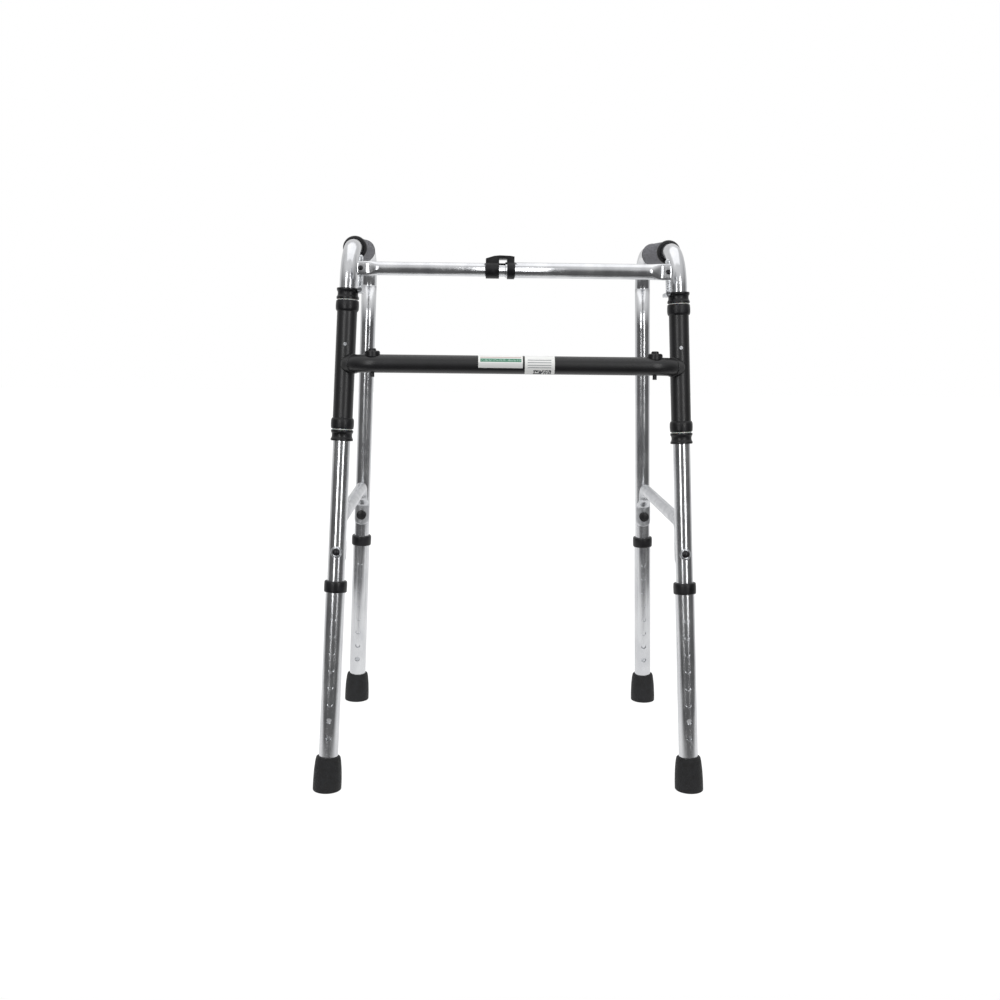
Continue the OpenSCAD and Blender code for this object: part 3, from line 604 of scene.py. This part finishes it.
def top_bar(side):
    """Half of the top bar: a round tube whose outer end is pressed flat and rounded off.

    Section at s from the end: (t sgn c |c|^e, h sgn v |v|^e), from a circle (t = h = r, e = 1) to a flat
    plate."""
    across, back, up = front_plane_axes()
    r, inner_end = TOP_BAR[side]
    nose, plate = TOP_BAR["nose"], TOP_BAR["plate"]
    mouth = TOP_BAR["half"] + inner_end
    rounding = nose * (1 - np.cos(np.linspace(0.15, math.pi / 2, 10)))
    s = np.concatenate([rounding, np.linspace(5, 44, 34), [60, mouth - 0.5, mouth]])
    k = np.clip((34 - s) / 20, 0, 1)
    k = (k * k * (3 - 2 * k))[:, None]
    tip = np.sqrt(1 - (1 - np.clip(s / nose, 0, 1)) ** 2)[:, None]
    a = np.linspace(0, 2 * math.pi, 72, endpoint=False)[None, :]
    e = 1 - 0.5 * k
    t = (r * (1 - k) + plate * k) * np.minimum(1, 0.5 + tip / 2)
    h = r * (1 + 0.05 * k) * tip
    t[-1], h[-1] = t[-1] - 0.4, h[-1] - 0.4
    y = t * np.sign(np.cos(a)) * np.abs(np.cos(a)) ** e
    z = h * np.sign(np.sin(a)) * np.abs(np.sin(a)) ** e
    outward = -1 if side == "left" else 1
    x = np.broadcast_to(outward * (TOP_BAR["half"] - s)[:, None], y.shape)
    root = leg_place("left", "front")[:3, 3] * np.array([0, 1, 1])
    centre = root - back * SWIVEL["y"] + up * TOP_BAR["z"]
    points = centre + x[..., None] * across + y[..., None] * back + z[..., None] * up
    node = "top_bar_inner_tube" if side == "left" else "top_bar_outer_tube"
    skin(f"{side}_top_bar", points * MM, "polished_aluminium", "cross_frame", [node])
    reach, dome = plate + 1.7, 1.75
    u = np.concatenate([-reach * np.cos(np.linspace(0.1, 0.75, 7)), [-plate - 0.1, -plate + 0.4]])
    u = np.concatenate([u, -u[::-1]])
    cap = 3.6 * np.sqrt(np.clip(1 - ((np.abs(u) - plate) / dome) ** 2, 0.02, 1))
    head = np.where(np.abs(u) < plate, 2.4, cap)[:, None, None]
    around = np.cos(a.T[None]) * across + np.sin(a.T[None]) * up
    pin = centre + outward * TOP_BAR["rivet"] * across + u[:, None, None] * back + head * around
    stands_for = ["top_bar_rivets"] if side == "left" else ()
    skin(f"{side}_bar_rivet", pin * MM, "dark_steel", "cross_frame", stands_for)


def plate_and_tube(z, pressed, reach, sides):
    """Ring at height z on a leg's outer side: a circle where pressed is 0, a plate on the leg where it is 1.

    Circle: (r sin a, offset + r cos a). Plate: (p sin f, p cos f) with f = span reach sin a and
    p = plate_r + half sign(cos a) sqrt|cos a|."""
    a = np.linspace(0, 2 * math.pi, sides, endpoint=False)[None, :]
    z, k, w = (np.asarray(v, float)[:, None] for v in (z, pressed, reach))
    f = BRACE["span"] * w * np.sin(a)
    p = BRACE["plate_r"] + BRACE["plate_half"] * np.sign(np.cos(a)) * np.sqrt(np.abs(np.cos(a)))
    x = (1 - k) * BRACE["r"] * np.sin(a) + k * p * np.sin(f)
    y = (1 - k) * (BRACE["offset"] + BRACE["r"] * np.cos(a)) + k * p * np.cos(f)
    return np.stack([x, y, np.broadcast_to(z, x.shape)], axis=-1)


def brace(side):
    """Tube bent over between the legs, whose two ends are pressed into curved plates."""
    front, rear, foot, way = side_plan(side)
    level = unit(foot)
    back = np.array([way[1], -way[0]])
    first = meeting((0.0, BRACE_Z), level, (BRACE["offset"], 0.0), (0.0, 1.0))
    second = meeting((0.0, BRACE_Z), level, foot - back * BRACE["offset"], way)
    turn_first = math.acos(level @ np.array([0.0, 1.0]))
    turn_second = math.acos(-(level @ way))
    top_first = first[1] - BRACE["bend"] * math.tan(turn_first / 2)
    drop = np.linalg.norm(second - (foot - back * BRACE["offset"])) - BRACE["bend"] * math.tan(turn_second / 2)
    stop = foot - back * BRACE["offset"] + way * drop
    path, tangents = arc_path([(BRACE["offset"], top_first), first, second, stop], BRACE["bend"], 16, 6)
    sides = 64
    middle = into(front, swept_rings(path, tangents, BRACE["r"], sides))
    ends = []
    for place, top, bolt, sign in ((front, top_first, BOLT_Z["front"], 1), (rear, drop, BOLT_Z["rear"], -1)):
        low = bolt - BRACE["low"]
        rounding = low + 9 * (1 - np.cos(np.linspace(0.02, math.pi / 2, 9)))
        z = np.concatenate([rounding, np.linspace(low + 10, top - 0.5, 26)])
        t = np.clip((top - 3 - z) / 17, 0, 1)
        reach = np.sqrt(np.clip(1 - (1 - np.clip((z - low) / 9, 0, 1)) ** 2, 0.0004, 1))
        rings = plate_and_tube(z, t * t * (3 - 2 * t), reach, sides) * np.array([1, sign, 1])
        ends.append(into(place, rings))
    rings = np.concatenate([ends[0], middle[1:-1], ends[1][::-1]])
    skin(f"{side}_pressed_brace", rings, "satin_aluminium", f"{side}_side", [f"{side}_brace"])


def foot(side, end):
    """Rubber foot: a turned cup, sheared so that its base lies on the floor: z + floor (1 - z / height)."""
    place = leg_place(side, end)
    height = 50
    outer = [(21.2, 0, 1.2), (21.3, 12, 4), (20.6, 30, 6), (19.0, 45, 4), (17.6, height, 1.6)]
    socket = [(LOWER_R + 0.03, height, 0), (LOWER_R + 0.03, 9, 0), (0.2, 9, 0)]
    profile = rounded([(0.2, 0, 0), *outer, *socket], 8)
    a = np.linspace(0, 2 * math.pi, 96, endpoint=False)[None, :]
    x, y = profile[:, :1] * np.cos(a), profile[:, :1] * np.sin(a)
    up = place[2, :3]
    floor = -(up[0] * x + up[1] * y + place[2, 3]) / up[2]
    z = profile[:, 1:] + floor * (1 - profile[:, 1:] / height)
    rings = into(place, np.stack([x, y, z], axis=-1))
    skin(f"{side}_{end}_rubber_foot", rings, "foot_rubber", f"{side}_{end}_leg", [f"{side}_{end}_foot"])


def leg_collar(side, end):
    """Cap ring on the lower leg's mouth, with well-rounded edges."""
    low, top = COLLAR_Z[end] - 8.5, COLLAR_Z[end] + 8.5
    bore, mouth = LOWER_R + 0.05, LEG_R + 0.08
    outside = [(16.8, low, 2.2), (17.0, top - 6, 2), (16.6, top, 2.6)]
    inside = [(mouth, top, 0.4), (mouth, top - 3, 0), (bore, top - 3, 0)]
    profile = rounded([(bore, low, 0), *outside, *inside])
    place, stands_for = leg_place(side, end), [f"{side}_{end}_leg_collar"]
    turned(f"{side}_{end}_cap_ring", profile, place, "black_plastic", f"{side}_{end}_leg", stands_for)


for side in SIDES:
    side_tube(side)
    handle(side)
    hinge(side)
    swivel(side)
    crossbar_end(side)
    top_bar(side)
    dimple(side)
    brace(side)
    for end in ENDS:
        foot(side, end)
        leg_collar(side, end)


# ---------- camera, floor and light ----------


def camera():
    """Camera in front of the frame, a little above its cross tube, turned slightly down and to the right."""
    yaw, pitch, roll = 0.0326, 0.1645, 0.013
    ahead = np.array([math.sin(yaw) * math.cos(pitch), math.cos(yaw) * math.cos(pitch), -math.sin(pitch)])
    right = np.array([math.cos(yaw), -math.sin(yaw), 0.0])
    up = np.cross(right, ahead)
    across = math.cos(roll) * right + math.sin(roll) * up
    upward = math.cos(roll) * up - math.sin(roll) * right
    data = bpy.data.cameras.new("camera")
    data.sensor_width, data.lens = 36.0, 46.35
    view = bpy.data.objects.new("camera", data)
    bpy.context.scene.collection.objects.link(view)
    turn = Matrix([[across[i], upward[i], -ahead[i], 0] for i in range(3)] + [[0, 0, 0, 1]])
    view.matrix_world = Matrix.Translation(Vector((-0.0786, -2.0446, 0.7429))) @ turn
    bpy.context.scene.camera = view


def lamp(name, place, aim, width, height, power):
    """Soft rectangular light."""
    data = bpy.data.lights.new(name, "AREA")
    data.shape, data.size, data.size_y, data.energy = "RECTANGLE", width, height, power
    light = bpy.data.objects.new(name, data)
    bpy.context.scene.collection.objects.link(light)
    light.location = place
    light.rotation_euler = (Vector(aim) - Vector(place)).to_track_quat("-Z", "Y").to_euler()
    light.visible_camera = False


def floor():
    """Large pale floor, a little lit from within so that it stays pale under the frame.

    In reflections its glow is painted darker towards the front: painted shade that stands in for a studio floor
    past the edge of its lamps."""
    shader = {"Base Color": paint("#818181"), "Roughness": 0.9, "Specular IOR Level": 0.1}
    shader |= {"Emission Color": (1, 1, 1, 1), "Emission Strength": 0.9}
    material, tree, body, place = blank("pale_studio_floor", **shader)
    _, y, _ = add(tree, "ShaderNodeSeparateXYZ", {"Vector": place}).outputs
    # Painted shade: for reflections the floor glows at 1.0 from y = -0.2 back and dims to 0.1 by y = -0.5 at the
    # front.
    painted_floor_shade = add(tree, "ShaderNodeEmission", {"Strength": spread(tree, y, 0.1, 1.0, -0.5, -0.2)})
    seen = add(tree, "ShaderNodeLightPath").outputs["Is Camera Ray"]
    either = add(tree, "ShaderNodeMixShader", {0: seen, 1: painted_floor_shade.outputs[0], 2: body.outputs[0]})
    output = next(n for n in tree.nodes if n.type == "OUTPUT_MATERIAL")
    tree.links.new(either.outputs[0], output.inputs["Surface"])
    half_near, half_far, near, far, z = 0.7, 4.0, -0.78, 7.0, -0.0005
    mesh = bpy.data.meshes.new("floor")
    corners = [(-half_near, near, z), (half_near, near, z), (half_far, far, z), (-half_far, far, z)]
    mesh.from_pydata(corners, [], [(0, 1, 2, 3)])
    mesh.materials.append(material)
    piece = bpy.data.objects.new("floor", mesh)
    bpy.context.scene.collection.objects.link(piece)


def surroundings():
    """Pale backdrop for the camera; for reflections, a dim room, brighter overhead and behind the frame."""
    world = bpy.data.worlds.new("studio")
    bpy.context.scene.world = world
    world.use_nodes = True
    tree = world.node_tree
    tree.nodes.clear()
    way = add(tree, "ShaderNodeTexCoord").outputs["Generated"]
    _, behind, height = add(tree, "ShaderNodeSeparateXYZ", {"Vector": way}).outputs
    overhead, wall = spread(tree, height, 0.13, 0.85, 0.05, 0.7), spread(tree, behind, 0.0, 0.8, 0.0, 0.45)
    glow = add(tree, "ShaderNodeMath", {0: overhead, 1: wall}, operation="MAXIMUM").outputs[0]
    room = add(tree, "ShaderNodeBackground", {"Color": (1, 1, 1, 1), "Strength": glow})
    backdrop = add(tree, "ShaderNodeBackground", {"Color": (1, 1, 1, 1), "Strength": 1.0})
    seen = add(tree, "ShaderNodeLightPath").outputs["Is Camera Ray"]
    mix = add(tree, "ShaderNodeMixShader", {0: seen, 1: room.outputs[0], 2: backdrop.outputs[0]})
    add(tree, "ShaderNodeOutputWorld", {"Surface": mix.outputs[0]})


camera()
floor()
surroundings()
bpy.context.scene.view_settings.view_transform = "Standard"
lamp("left_softbox", (-1.3, -2.5, 1.25), (0, 0, 0.6), 0.55, 2.1, 20)
lamp("right_softbox", (1.3, -2.5, 1.25), (0, 0, 0.6), 0.55, 2.1, 20)
lamp("overhead", (0, 0.3, 2.6), (0, 0, 0), 2.4, 2.4, 12)
